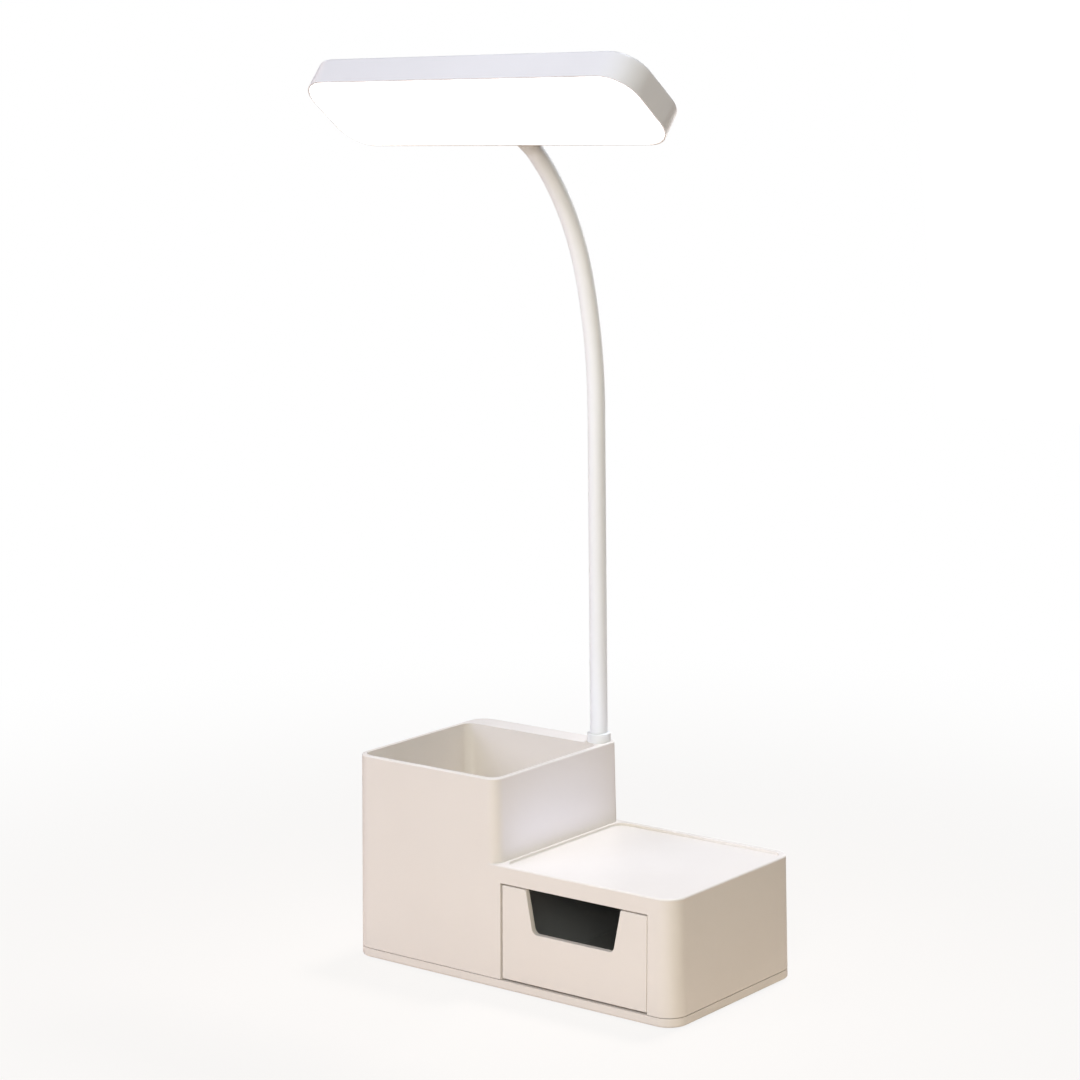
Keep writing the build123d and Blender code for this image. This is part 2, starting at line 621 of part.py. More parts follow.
def lamp_lead():
    """The lead from the ferrule down the rear duct to the control board."""
    top = TALL_HEIGHT - STUD_LENGTH
    land_x = board_x1() - POST_INSET
    land_y = CONTROL_BOARD_Y1 - 2 * POST_INSET
    turn_z = BOARD_Z + CONTROL_BOARD + 2 * LEAD_BEND_R
    path = FilletPolyline((NECK_X, NECK_Y, top), (NECK_X, NECK_Y, turn_z + LEAD_BEND_R / 2),
                          (land_x, land_y, turn_z), (land_x, land_y, BOARD_Z + CONTROL_BOARD),
                          radius=LEAD_BEND_R)
    return sweep(Plane(origin=(NECK_X, NECK_Y, top), z_dir=(0, 0, -1)) * Circle(LEAD_R), path=path.wire())


def head_plane():
    """The head's own frame: origin at the light face's centre, x along the bar, y to its rear, z into it.

    The neck meets the middle of the rear wall squarely, so the frame follows from the neck's end.
    """
    place, direction = neck_point(NECK_LENGTH)
    ahead = Vector(*direction)
    along = Vector(cos(radians(NECK_AZIMUTH)), -sin(radians(NECK_AZIMUTH)), 0)
    normal = ahead.cross(along)
    roll = radians(HEAD_ROLL)
    x_dir = along * cos(roll) + normal * sin(roll)
    z_dir = normal * cos(roll) - along * sin(roll)
    origin = Vector(*place) + ahead * (HEAD_DEPTH / 2) - x_dir * SOCKET_X - z_dir * SOCKET_Z
    return Plane(origin=origin, x_dir=x_dir, z_dir=z_dir)


def head_outline(inset):
    """The head's rounded outline, drawn in by an inset."""
    return RectangleRounded(HEAD_LENGTH - 2 * inset, HEAD_DEPTH - 2 * inset, HEAD_CORNER_R - inset)


def head_housing():
    """The head's shell: rounded back edge, posts for the board and a hole for the neck's stud."""
    body = extrude(head_outline(0), amount=HEAD_THICKNESS)
    body = fillet(body.faces().sort_by(Axis.Z)[-1].edges(), HEAD_EDGE_R)
    body -= extrude(head_outline(HEAD_WALL), amount=HEAD_THICKNESS - HEAD_TOP)
    body -= extrude(head_outline(DIFFUSER_RIM), amount=DIFFUSER)
    for x in (-HEAD_POST_X, HEAD_POST_X):
        body += post(x, 0, LED_BOARD_Z + LED_BOARD, HEAD_THICKNESS - HEAD_TOP, HEAD_POST_R)
        body -= post(x, 0, LED_BOARD_Z, HEAD_THICKNESS - HEAD_TOP, SCREW_R - NECK_FIT)
    body -= socket_axis() * Pos(0, 0, HEAD_WALL / 2) * Cylinder(HEAD_STUD_R + NECK_FIT, 2 * HEAD_WALL)
    return head_plane() * body


def diffuser():
    """The frosted cover: a slightly proud face with a skirt that snaps into the shell."""
    gap = DIFFUSER_RIM + FIT_GAP
    body = Pos(0, 0, -DIFFUSER_CROWN) * extrude(head_outline(gap), amount=DIFFUSER + DIFFUSER_CROWN - FIT_GAP)
    body = fillet(body.faces().sort_by(Axis.Z)[0].edges(), DIFFUSER_EDGE_R)
    skirt = head_outline(HEAD_WALL + FIT_GAP) - head_outline(HEAD_WALL + FIT_GAP + DIFFUSER_SKIRT)
    skirt = extrude(skirt, amount=DIFFUSER_SKIRT_HEIGHT)
    skirt -= block(SOCKET_X - SKIRT_BREAK, SOCKET_X + SKIRT_BREAK, 0, HEAD_DEPTH, DIFFUSER - FIT_GAP,
                   HEAD_THICKNESS)
    return head_plane() * (body + skirt)


def led_places():
    """The light-emitting chips' centres, in two rows along the board."""
    first = -(LED_COLUMNS - 1) * LED_PITCH / 2
    return [(first + k * LED_PITCH, side * LED_ROW_GAP / 2) for k in range(LED_COLUMNS) for side in (-1, 1)]


def led_board():
    """The aluminium board that carries the chips."""
    width = HEAD_DEPTH - 2 * BOARD_MARGIN
    outline = RectangleRounded(HEAD_LENGTH - 2 * BOARD_MARGIN, width, HEAD_CORNER_R - BOARD_MARGIN)
    body = Pos(0, 0, LED_BOARD_Z) * extrude(outline, amount=LED_BOARD)
    for x in (-HEAD_POST_X, HEAD_POST_X):
        body -= post(x, 0, LED_BOARD_Z, LED_BOARD_Z + LED_BOARD, SCREW_R + NECK_FIT)
    return head_plane() * body


def led_chips():
    """The chips under the board, each a solid of its own."""
    chip = Box(LED_SIZE, LED_SIZE, LED_HEIGHT)
    return [head_plane() * Pos(x, y, LED_BOARD_Z - LED_HEIGHT / 2) * chip for x, y in led_places()]


def reflector_sheet():
    """The white sheet against the board, with a window for each chip and each screw."""
    outline = RectangleRounded(HEAD_LENGTH - 2 * BOARD_MARGIN, HEAD_DEPTH - 2 * BOARD_MARGIN,
                               HEAD_CORNER_R - BOARD_MARGIN)
    windows = [Pos(x, y) * Rectangle(REFLECTOR_WINDOW, REFLECTOR_WINDOW) for x, y in led_places()]
    holes = [Pos(x, 0) * Circle(SCREW_HEAD_R + FIT_GAP) for x in (-HEAD_POST_X, HEAD_POST_X)]
    sheet = extrude(outline - windows - holes, amount=REFLECTOR)
    return head_plane() * Pos(0, 0, LED_BOARD_Z - REFLECTOR) * sheet


def head_screws():
    """The two screws that hold the board to the head's posts."""
    screw = Rot(180, 0, 0) * pan_screw(SCREW_R - 2 * NECK_FIT, SCREW_HEAD_R, LED_HEIGHT, LED_BOARD + 2)
    return [head_plane() * Pos(x, 0, LED_BOARD_Z) * screw for x in (-HEAD_POST_X, HEAD_POST_X)]


def socket_axis():
    """The neck's end in the head's own frame: origin on the rear wall, z into the head."""
    return Plane(origin=(SOCKET_X, HEAD_DEPTH / 2, SOCKET_Z), x_dir=(1, 0, 0), z_dir=(0, -1, 0))


def head_socket():
    """The tapered socket on the head's rear wall, with a crimp cup for the neck and a stud through the wall."""
    taper = Pos(0, 0, -SOCKET_LENGTH / 2) * Cone(SOCKET_NECK_R, SOCKET_R, SOCKET_LENGTH)
    stud = Pos(0, 0, SOCKET_STUD / 2) * Cylinder(HEAD_STUD_R, SOCKET_STUD)
    bore = Cylinder(HEAD_STUD_BORE_R, 2 * SOCKET_STUD)
    body = head_plane() * socket_axis() * (taper + stud - bore)
    mouth = NECK_LENGTH - SOCKET_LENGTH
    body -= neck_tube(mouth - 1, mouth + SOCKET_CUP, SLEEVE_R + NECK_FIT)
    return body - neck_tube(mouth - 1, NECK_LENGTH - FLANGE + NECK_FIT, CORE_R + NECK_FIT)


def head_nut():
    """The nut against the inside of the head's rear wall."""
    nut = hex_nut(HEAD_NUT_FLATS, HEAD_NUT, HEAD_STUD_R + NECK_FIT)
    return head_plane() * socket_axis() * Pos(0, 0, HEAD_WALL) * nut


def battery_z():
    """The height of the battery's axis above the desk."""
    return PLATE_TOP_Z + HOLDER_WALL + BATTERY_R


def battery_ends():
    """The cell's ends, between the left and the partition's screw bosses."""
    end = BOSS_R + BATTERY_END_GAP + HOLDER_WALL + 2 * CONTACT
    return SCREW_LEFT_X + end, partition_x() - end


def battery_cell():
    """The rechargeable cell, with its raised contact button."""
    x0, x1 = battery_ends()
    body = rod((x0, BATTERY_Y, battery_z()), (1, 0, 0), x1 - x0 - CELL_BUTTON, BATTERY_R - BATTERY_GAP)
    ends = body.edges().filter_by(GeomType.CIRCLE)
    body = fillet(ends, RIM_EDGE_R)
    return body + rod((x1 - 2 * CELL_BUTTON, BATTERY_Y, battery_z()), (1, 0, 0), 2 * CELL_BUTTON, BATTERY_R / 3)


def battery_holder():
    """The open cradle of the cell, with end walls for its contacts."""
    x0, x1 = battery_ends()
    bed_x0, bed_x1 = x0 - 2 * CONTACT, x1 + 2 * CONTACT
    half_y = BATTERY_R + HOLDER_WALL
    body = block(bed_x0 - HOLDER_WALL, bed_x1 + HOLDER_WALL, BATTERY_Y - half_y, BATTERY_Y + half_y,
                 PLATE_TOP_Z, PLATE_TOP_Z + HOLDER_HEIGHT)
    bed = rod((bed_x0, BATTERY_Y, battery_z()), (1, 0, 0), bed_x1 - bed_x0, BATTERY_R)
    bed += block(bed_x0, bed_x1, BATTERY_Y - BATTERY_R, BATTERY_Y + BATTERY_R, battery_z(),
                 battery_z() + HOLDER_HEIGHT)
    return body - bed


def battery_contacts():
    """The two contact plates, one at each end of the cell."""
    x0, x1 = battery_ends()
    half = BATTERY_R / 2
    return [block(x - CONTACT / 2, x + CONTACT / 2, BATTERY_Y - half, BATTERY_Y + half, battery_z() - half,
                  battery_z() + half) for x in (x0 - 1.5 * CONTACT, x1 + 1.5 * CONTACT)]


def ballast_block():
    """The steel block that keeps the lamp from tipping, with chamfered edges and two screw holes."""
    y0, y1 = ballast_sides()
    body = block(CONTROL_BOARD_X0, board_x1(), y0, y1, PLATE_TOP_Z, PLATE_TOP_Z + BALLAST_HEIGHT)
    body = chamfer(body.edges(), RIM_EDGE_R)
    for x, y in ballast_screw_places():
        body -= post(x, y, 0, PLATE_TOP_Z + BALLAST_HEIGHT, SCREW_R + NECK_FIT)
    return body


def ballast_sides():
    """The front and the back of the ballast, between the cell's holder and the control board."""
    front = BATTERY_Y + BATTERY_R + HOLDER_WALL
    return front + BALLAST_SPACE, CONTROL_BOARD_Y0 - BALLAST_SPACE


def ballast_screw_places():
    """The centre of each ballast screw."""
    y = sum(ballast_sides()) / 2
    return [(CONTROL_BOARD_X0 + BALLAST_SCREW_INSET, y), (board_x1() - BALLAST_SCREW_INSET, y)]


def ballast_screws():
    """The two screws through the ballast into the plate."""
    screw = pan_screw(SCREW_R, SCREW_HEAD_R, SCREW_HEAD, BALLAST_HEIGHT)
    return [Pos(x, y, PLATE_TOP_Z + BALLAST_HEIGHT) * screw for x, y in ballast_screw_places()]


def board_posts():
    """The two posts that carry the control board."""
    y = CONTROL_BOARD_Y0 + POST_INSET
    return ((CONTROL_BOARD_X0 + POST_INSET, y), (board_x1() - POST_INSET, y))


def control_board():
    """The charging and dimming board."""
    body = block(CONTROL_BOARD_X0, board_x1(), CONTROL_BOARD_Y0, CONTROL_BOARD_Y1,
                 BOARD_Z, BOARD_Z + CONTROL_BOARD)
    for x, y in board_posts():
        body -= post(x, y, BOARD_Z, BOARD_Z + CONTROL_BOARD, SCREW_R + NECK_FIT)
    return body


def board_screws():
    """The two screws that hold the control board to its posts."""
    length = CONTROL_BOARD + POST_HEIGHT - POST_END
    screw = pan_screw(SCREW_R - 2 * NECK_FIT, SMALL_HEAD_R, SCREW_HEAD, length)
    return [Pos(x, y, BOARD_Z + CONTROL_BOARD) * screw for x, y in board_posts()]


def usb_socket():
    """The charging socket: a rounded metal shell with a tongue inside."""
    z = BOARD_Z + CONTROL_BOARD + USB_HEIGHT / 2
    mouth = rear_y(z) - USB_MOUTH_BACK
    rear = Plane(origin=(USB_X, mouth, z), x_dir=(1, 0, 0), z_dir=(0, -1, 0))
    shell = extrude(SlotOverall(USB_WIDTH, USB_HEIGHT), amount=USB_DEPTH)
    inside = USB_DEPTH - USB_BACK
    cavity = extrude(SlotOverall(USB_WIDTH - 2 * USB_SHELL, USB_HEIGHT - 2 * USB_SHELL), amount=inside)
    tongue = Pos(0, 0, USB_DEPTH / 2 + USB_SHELL) * Box(USB_WIDTH - USB_HEIGHT, USB_TONGUE, inside)
    return rear * (shell - cavity + tongue)


def button_face_y():
    """The power button's outer face at rest."""
    return rear_y(BUTTON_Z) + BUTTON_PROUD


def button_back_y():
    """The power button's inner face at rest, behind its flange."""
    return rear_y(BUTTON_Z + BUTTON_R) - WALL - BUTTON_GAP - BUTTON_FLANGE


def power_button():
    """The round push button: dished cap and a flange that keeps it in the wall."""
    back = button_back_y()
    face = button_face_y()
    cap = rod((button_x(), back, BUTTON_Z), (0, 1, 0), face - back, BUTTON_R)
    cap = fillet(cap.faces().sort_by(Axis.Y)[-1].edges(), RIM_EDGE_R)
    dish_r = (BUTTON_R ** 2 + BUTTON_DISH ** 2) / (2 * BUTTON_DISH)
    cap -= Pos(button_x(), face + dish_r - BUTTON_DISH, BUTTON_Z) * Sphere(dish_r)
    return cap + rod((button_x(), back, BUTTON_Z), (0, 1, 0), BUTTON_FLANGE, BUTTON_FLANGE_R)


def tact_switch():
    """The switch on the board behind the power button, bored for its plunger."""
    front = switch_front_y()
    foot = BOARD_Z + CONTROL_BOARD
    body = block(button_x() - SWITCH_SIZE / 2, button_x() + SWITCH_SIZE / 2, front - SWITCH_DEPTH, front,
                 foot, BUTTON_Z + SWITCH_SIZE / 2)
    return body - rod((button_x(), front, BUTTON_Z), (0, -1, 0), SWITCH_DEPTH / 2, PLUNGER_R + BUTTON_GAP)


def switch_front_y():
    """The face of the switch, one travel and a gap behind the button."""
    return button_back_y() - BUTTON_TRAVEL - PLUNGER_REACH


def switch_plunger():
    """The plunger that the button pushes into the switch."""
    inside = SWITCH_DEPTH / 2 - BUTTON_TRAVEL - STOP_GAP
    start = switch_front_y() - inside
    return rod((button_x(), start, BUTTON_Z), (0, 1, 0), button_back_y() - start, PLUNGER_R)


def parts():
    """Every piece by its name, as one solid or as a list of separate solids."""
    marks = pivots()
    pieces = {
        "base_housing": base_housing(),
        "base_plate": base_plate(),
        "anti_slip_pad": anti_slip_pad(),
        "base_screws": base_screws(),
        "drawer": drawer(),
        "ballast_block": ballast_block(),
        "ballast_screws": ballast_screws(),
        "battery_cell": battery_cell(),
        "battery_holder": battery_holder(),
        "battery_contacts": battery_contacts(),
        "control_board": control_board(),
        "board_screws": board_screws(),
        "usb_socket": usb_socket(),
        "tact_switch": tact_switch(),
        "switch_plunger": switch_plunger(),
        "power_button": power_button(),
        "neck_ferrule": neck_ferrule(),
        "neck_collar": neck_collar(),
        "neck_washer": neck_washer(),
        "neck_nut": neck_nut(),
        "lamp_lead": lamp_lead(),
        "neck_sleeve_root": sleeve_root(),
        "neck_core_root": core_root(),
        "neck_sleeve_tip": sleeve_tip(),
        "neck_core_tip": core_tip(),
        "head_socket": head_socket(),
        "head_nut": head_nut(),
        "head_housing": head_housing(),
        "diffuser": diffuser(),
        "led_board": led_board(),
        "led_chips": led_chips(),
        "reflector_sheet": reflector_sheet(),
        "head_screws": head_screws(),
    }
    for k in range(NECK_LINKS):
        pieces[f"neck_sleeve_{k + 1}"] = sleeve_link(marks[k], marks[k + 1])
        pieces[f"neck_core_{k + 1}"] = core_link(marks[k], marks[k + 1])
    return pieces


def main():
    """Write one file for each piece."""
    os.makedirs("parts", exist_ok=True)
    for name, piece in parts().items():
        solid = Compound(children=list(piece)) if isinstance(piece, list) else piece
        export_step(solid, f"parts/{name}.step")


if __name__ == "__main__":
    main()
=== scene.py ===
"""The desk lamp with a drawer base, dressed for its photograph, with its skins riding on the bodies of its
joints.
"""
import logging
from dataclasses import dataclass, field
from enum import Enum
from math import cos, pi, radians, sin

import bmesh
import bpy
from mathutils import Matrix, Vector


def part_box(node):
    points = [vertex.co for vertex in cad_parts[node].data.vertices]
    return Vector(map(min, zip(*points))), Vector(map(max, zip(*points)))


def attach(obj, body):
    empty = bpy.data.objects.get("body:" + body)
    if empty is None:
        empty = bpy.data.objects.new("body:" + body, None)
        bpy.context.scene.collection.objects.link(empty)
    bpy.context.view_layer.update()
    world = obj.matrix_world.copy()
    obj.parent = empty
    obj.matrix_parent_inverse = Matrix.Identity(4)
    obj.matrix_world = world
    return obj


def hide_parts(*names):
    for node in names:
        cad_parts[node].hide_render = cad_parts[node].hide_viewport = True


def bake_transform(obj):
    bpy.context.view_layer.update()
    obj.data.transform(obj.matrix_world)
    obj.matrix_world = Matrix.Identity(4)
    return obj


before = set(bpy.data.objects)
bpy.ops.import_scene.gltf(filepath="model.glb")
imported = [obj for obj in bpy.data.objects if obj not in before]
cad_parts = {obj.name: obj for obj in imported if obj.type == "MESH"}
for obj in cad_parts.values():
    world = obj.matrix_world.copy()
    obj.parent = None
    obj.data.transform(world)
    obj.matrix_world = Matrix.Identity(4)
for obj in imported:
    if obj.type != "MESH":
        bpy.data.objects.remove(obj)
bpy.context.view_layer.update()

LOG = logging.getLogger("desk_lamp")
MM = 0.001
Triple = tuple[float, float, float]

MERGE_GAP = 0.002 * MM          # points nearer than this are one point
SLIVER = 0.0005 * MM            # edges shorter than this are dissolved
FLAT = radians(0.4)             # faces that meet at less than this are one face
CREASE = radians(28.0)          # edges below this angle are shaded smooth
SQUARE = radians(50.0)          # outward edges above this angle get a small rounding
SHORTEST_SPAN = 1e-7            # metres of tube that aren't worth a ring
WAVE_RADIANS = 20.0             # what Blender's Wave texture turns by per metre at a scale of 1


@dataclass(frozen=True)
class Grain:
    """A tool finish's grain: its cells per metre and its depth in metres."""

    cells: float
    depth: float


class Surface(Enum):
    """How a moulded surface was finished in its tool."""

    SATIN = Grain(900.0, 0.00003)
    FINE_SPARK = Grain(2200.0, 0.00004)
    POLISHED = Grain(300.0, 0.00001)


class Term:
    """A shader socket that takes part in Python arithmetic."""

    def __init__(self, sheet: "NodeSheet", socket: bpy.types.NodeSocket) -> None:
        """Wrap a socket.

        Args:
            sheet: The node sheet that new Math nodes go into.
            socket: The output that this term stands for.
        """
        self.sheet = sheet
        self.socket = socket

    def _math(self, operation: str, *values: "Term | float") -> "Term":
        """Add one Math node on the given values."""
        return self.sheet.add("ShaderNodeMath", {"operation": operation}, dict(enumerate(values)))

    def __add__(self, other: "Term | float") -> "Term":
        """The sum."""
        return self._math("ADD", self, other)

    __radd__ = __add__

    def __mul__(self, other: "Term | float") -> "Term":
        """The product."""
        return self._math("MULTIPLY", self, other)

    __rmul__ = __mul__

    def __sub__(self, other: "Term | float") -> "Term":
        """The difference."""
        return self._math("SUBTRACT", self, other)

    def __rsub__(self, other: float) -> "Term":
        """The difference from a number."""
        return self._math("SUBTRACT", other, self)

    def over(self, edge: float, width: float) -> "Term":
        """A soft step from 0 to 1 that starts at an edge and takes a width."""
        sockets = {"Value": self, "From Min": edge, "From Max": edge + width, "To Min": 0.0, "To Max": 1.0}
        return self.sheet.add("ShaderNodeMapRange", {"interpolation_type": "SMOOTHSTEP"}, sockets)


class NodeSheet:
    """One material with its node tree."""

    def __init__(self, name: str) -> None:
        """Start an empty material with a Principled surface.

        Args:
            name: The material's name.
        """
        self.material = bpy.data.materials.new(name)
        self.material.use_nodes = True
        self.nodes = self.material.node_tree.nodes
        self.links = self.material.node_tree.links
        self.nodes.clear()
        self.output = self.nodes.new("ShaderNodeOutputMaterial")
        self.surface = self.nodes.new("ShaderNodeBsdfPrincipled")
        self.links.new(self.surface.outputs[0], self.output.inputs["Surface"])

    def add(self, kind: str, settings: dict, sockets: dict, out: int | str = 0) -> Term:
        """Add a node.

        Args:
            kind: The node's type.
            settings: Values of its properties, which are set first.
            sockets: Values or terms for its inputs, by name or number.
            out: The output that the result stands for.

        Returns:
            The output as a term.
        """
        node = self.nodes.new(kind)
        for key, value in settings.items():
            setattr(node, key, value)
        for key, value in sockets.items():
            self.set(node.inputs[key], value)
        return Term(self, node.outputs[out])

    def set(self, socket: bpy.types.NodeSocket, value: "Term | float | tuple") -> None:
        """Link a term to a socket, or set its value.

        Args:
            socket: The input.
            value: The term or the constant that it gets.
        """
        if isinstance(value, Term):
            self.links.new(value.socket, socket)
        else:
            socket.default_value = value

    def principled(self, **values: "Term | float | tuple") -> None:
        """Set inputs of the Principled surface, named with underscores for spaces."""
        for key, value in values.items():
            self.set(self.surface.inputs[key.replace("_", " ")], value)

    def place(self) -> Term:
        """Object coordinates."""
        return self.add("ShaderNodeTexCoord", {}, {}, "Object")

    def noise(self, scale: float, detail: float, roughness: float = 0.5) -> Term:
        """Noise on object coordinates; scale is in cells per metre."""
        sockets = {"Vector": self.place(), "Scale": scale, "Detail": detail, "Roughness": roughness}
        return self.add("ShaderNodeTexNoise", {}, sockets)

    def blend(self, factor: "Term | float", low: Triple, high: Triple) -> Term:
        """A colour between two colours."""
        sockets = {0: factor, 6: (*low, 1.0), 7: (*high, 1.0)}
        return self.add("ShaderNodeMix", {"data_type": "RGBA"}, sockets, 2)

    def bump(self, height: Term, strength: float, distance: float) -> None:
        """Feed a height into the surface's normal."""
        sockets = {"Height": height, "Strength": strength, "Distance": distance}
        self.principled(Normal=self.add("ShaderNodeBump", {}, sockets))


@dataclass(frozen=True)
class MouldedPlastic:
    """An injection-moulded plastic: slight clouding, its tool's grain and handling marks in its gloss."""

    name: str
    colour: Triple
    shade: Triple
    roughness: float = 0.42
    surface: Surface = Surface.FINE_SPARK
    cloud_cells: float = 14.0
    mark_cells: float = 90.0
    cloud_share: float = 0.6
    mark_share: float = 0.25
    grain_strength: float = 0.35
    ior: float = 1.49

    def make(self) -> bpy.types.Material:
        """Build the material.

        Returns:
            The material.
        """
        sheet = NodeSheet(self.name)
        cloud = sheet.noise(scale=self.cloud_cells, detail=3.0)
        marks = sheet.noise(scale=self.mark_cells, detail=5.0, roughness=0.65)
        grain = sheet.noise(scale=self.surface.value.cells, detail=2.0)
        clouding = cloud.over(0.35, 0.4) * self.cloud_share
        marking = marks.over(0.6, 0.3) * self.mark_share
        sheet.principled(
            Base_Color=sheet.blend(clouding + marking, self.colour, self.shade),
            Roughness=self.roughness + 0.12 * marks.over(0.4, 0.4) - 0.05 * cloud,
            IOR=self.ior,
        )
        sheet.bump(grain, strength=self.grain_strength, distance=self.surface.value.depth)
        return sheet.material


@dataclass(frozen=True)
class LitCover:
    """The frosted cover with the lamp switched on behind it, a little warmer in broad patches."""

    name: str = "frosted_cover_lit"
    colour: Triple = (0.93, 0.93, 0.92)
    haze_colour: Triple = (0.90, 0.90, 0.89)
    glow: Triple = (1.0, 0.98, 0.95)
    warm_glow: Triple = (1.0, 0.96, 0.90)
    strength: float = 2.4
    roughness: float = 0.5
    frost_depth: float = 0.00003
    ior: float = 1.49

    def make(self) -> bpy.types.Material:
        """Build the material.

        Returns:
            The material.
        """
        sheet = NodeSheet(self.name)
        haze = sheet.noise(scale=22.0, detail=2.0)
        frost = sheet.noise(scale=1800.0, detail=2.0)
        sheet.principled(
            Base_Color=sheet.blend(haze, self.colour, self.haze_colour),
            Emission_Color=sheet.blend(haze.over(0.3, 0.5), self.glow, self.warm_glow),
            Emission_Strength=self.strength,
            Roughness=self.roughness + 0.1 * haze,
            IOR=self.ior,
        )
        sheet.bump(frost, strength=0.3, distance=self.frost_depth)
        return sheet.material


@dataclass(frozen=True)
class Silicone:
    """A smooth soft sleeve: faint dust in its matt skin and long shallow waves."""

    name: str
    colour: Triple
    dust: Triple
    roughness: float = 0.5
    wave_cells: float = 35.0
    speck_cells: float = 1400.0
    sheen: float = 0.12
    sheen_roughness: float = 0.4
    skin_depth: float = 0.00004
    ior: float = 1.41

    def make(self) -> bpy.types.Material:
        """Build the material.

        Returns:
            The material.
        """
        sheet = NodeSheet(self.name)
        waves = sheet.noise(scale=self.wave_cells, detail=1.0)
        specks = sheet.noise(scale=self.speck_cells, detail=4.0, roughness=0.7)
        sheet.principled(
            Base_Color=sheet.blend(specks.over(0.58, 0.2) * 0.5 + waves * 0.2, self.colour, self.dust),
            Roughness=self.roughness + 0.15 * specks,
            Sheen_Weight=self.sheen,
            Sheen_Roughness=self.sheen_roughness,
            IOR=self.ior,
        )
        sheet.bump(specks * 0.2 + waves, strength=0.12, distance=self.skin_depth)
        return sheet.material


@dataclass(frozen=True)
class RibbedRubber:
    """The pad's rubber: fine ribs across it and a dull bloom."""

    name: str = "ribbed_rubber"
    colour: Triple = (0.035, 0.035, 0.036)
    bloom_colour: Triple = (0.075, 0.075, 0.078)
    pitch: float = 0.0025
    rib_depth: float = 0.0003
    roughness: float = 0.75

    def make(self) -> bpy.types.Material:
        """Build the material.

        Returns:
            The material.
        """
        sheet = NodeSheet(self.name)
        settings = {"wave_type": "BANDS", "bands_direction": "X", "wave_profile": "SIN"}
        scale = 2 * pi / (WAVE_RADIANS * self.pitch)
        sockets = {"Vector": sheet.place(), "Scale": scale, "Distortion": 0.0}
        ribs = sheet.add("ShaderNodeTexWave", settings, sockets, "Fac")
        bloom = sheet.noise(scale=60.0, detail=4.0)
        sheet.principled(
            Base_Color=sheet.blend(bloom.over(0.4, 0.4), self.colour, self.bloom_colour),
            Roughness=self.roughness + 0.15 * bloom,
        )
        sheet.bump(ribs, strength=0.8, distance=self.rib_depth)
        return sheet.material


@dataclass(frozen=True)
class PlatedSteel:
    """Zinc-plated or nickelled steel with fine turning lines and patchy brightness."""

    name: str
    colour: Triple = (0.62, 0.62, 0.63)
    dull: Triple = (0.45, 0.45, 0.47)
    roughness: float = 0.32
    patch_cells: float = 220.0
    line_cells: float = 2600.0
    line_depth: float = 0.00002

    def make(self) -> bpy.types.Material:
        """Build the material.

        Returns:
            The material.
        """
        sheet = NodeSheet(self.name)
        patches = sheet.noise(scale=self.patch_cells, detail=5.0)
        lines = sheet.noise(scale=self.line_cells, detail=2.0)
        sheet.principled(
            Base_Color=sheet.blend(patches.over(0.35, 0.35), self.colour, self.dull),
            Metallic=1.0,
            Roughness=self.roughness + 0.18 * patches,
        )
        sheet.bump(lines, strength=0.3, distance=self.line_depth)
        return sheet.material


@dataclass(frozen=True)
class BoardLacquer:
    """A circuit board's lacquer over faint tracks."""

    name: str
    colour: Triple
    track: Triple
    track_cells: float = 260.0
    grain_cells: float = 900.0
    track_depth: float = 0.00004
    roughness: float = 0.3
    coat: float = 0.4

    def make(self) -> bpy.types.Material:
        """Build the material.

        Returns:
            The material.
        """
        sheet = NodeSheet(self.name)
        settings = {"feature": "F1", "distance": "CHEBYCHEV"}
        sockets = {"Vector": sheet.place(), "Scale": self.track_cells}
        cells = sheet.add("ShaderNodeTexVoronoi", settings, sockets, "Distance")
        edges = cells.over(0.42, 0.06)
        grain = sheet.noise(scale=self.grain_cells, detail=2.0)
        sheet.principled(
            Base_Color=sheet.blend(edges * 0.8 + grain * 0.1, self.colour, self.track),
            Roughness=self.roughness + 0.1 * grain,
            Coat_Weight=self.coat,
        )
        sheet.bump(edges, strength=0.3, distance=self.track_depth)
        return sheet.material


@dataclass(frozen=True)
class ShrinkSleeve:
    """The cell's shrunk plastic sleeve, with faint length-wise wrinkles."""

    name: str = "cell_sleeve"
    colour: Triple = (0.05, 0.24, 0.42)
    crest_colour: Triple = (0.07, 0.30, 0.50)
    stretch: Triple = (0.1, 1.0, 1.0)
    wrinkle_cells: float = 600.0
    wrinkle_depth: float = 0.00005
    roughness: float = 0.22

    def make(self) -> bpy.types.Material:
        """Build the material.

        Returns:
            The material.
        """
        sheet = NodeSheet(self.name)
        stretched = sheet.add("ShaderNodeMapping", {}, {"Vector": sheet.place(), "Scale": self.stretch})
        sockets = {"Vector": stretched, "Scale": self.wrinkle_cells, "Detail": 3.0}
        wrinkles = sheet.add("ShaderNodeTexNoise", {}, sockets)
        sheet.principled(
            Base_Color=sheet.blend(wrinkles.over(0.4, 0.3), self.colour, self.crest_colour),
            Roughness=self.roughness + 0.12 * wrinkles,
        )
        sheet.bump(wrinkles, strength=0.4, distance=self.wrinkle_depth)
        return sheet.material


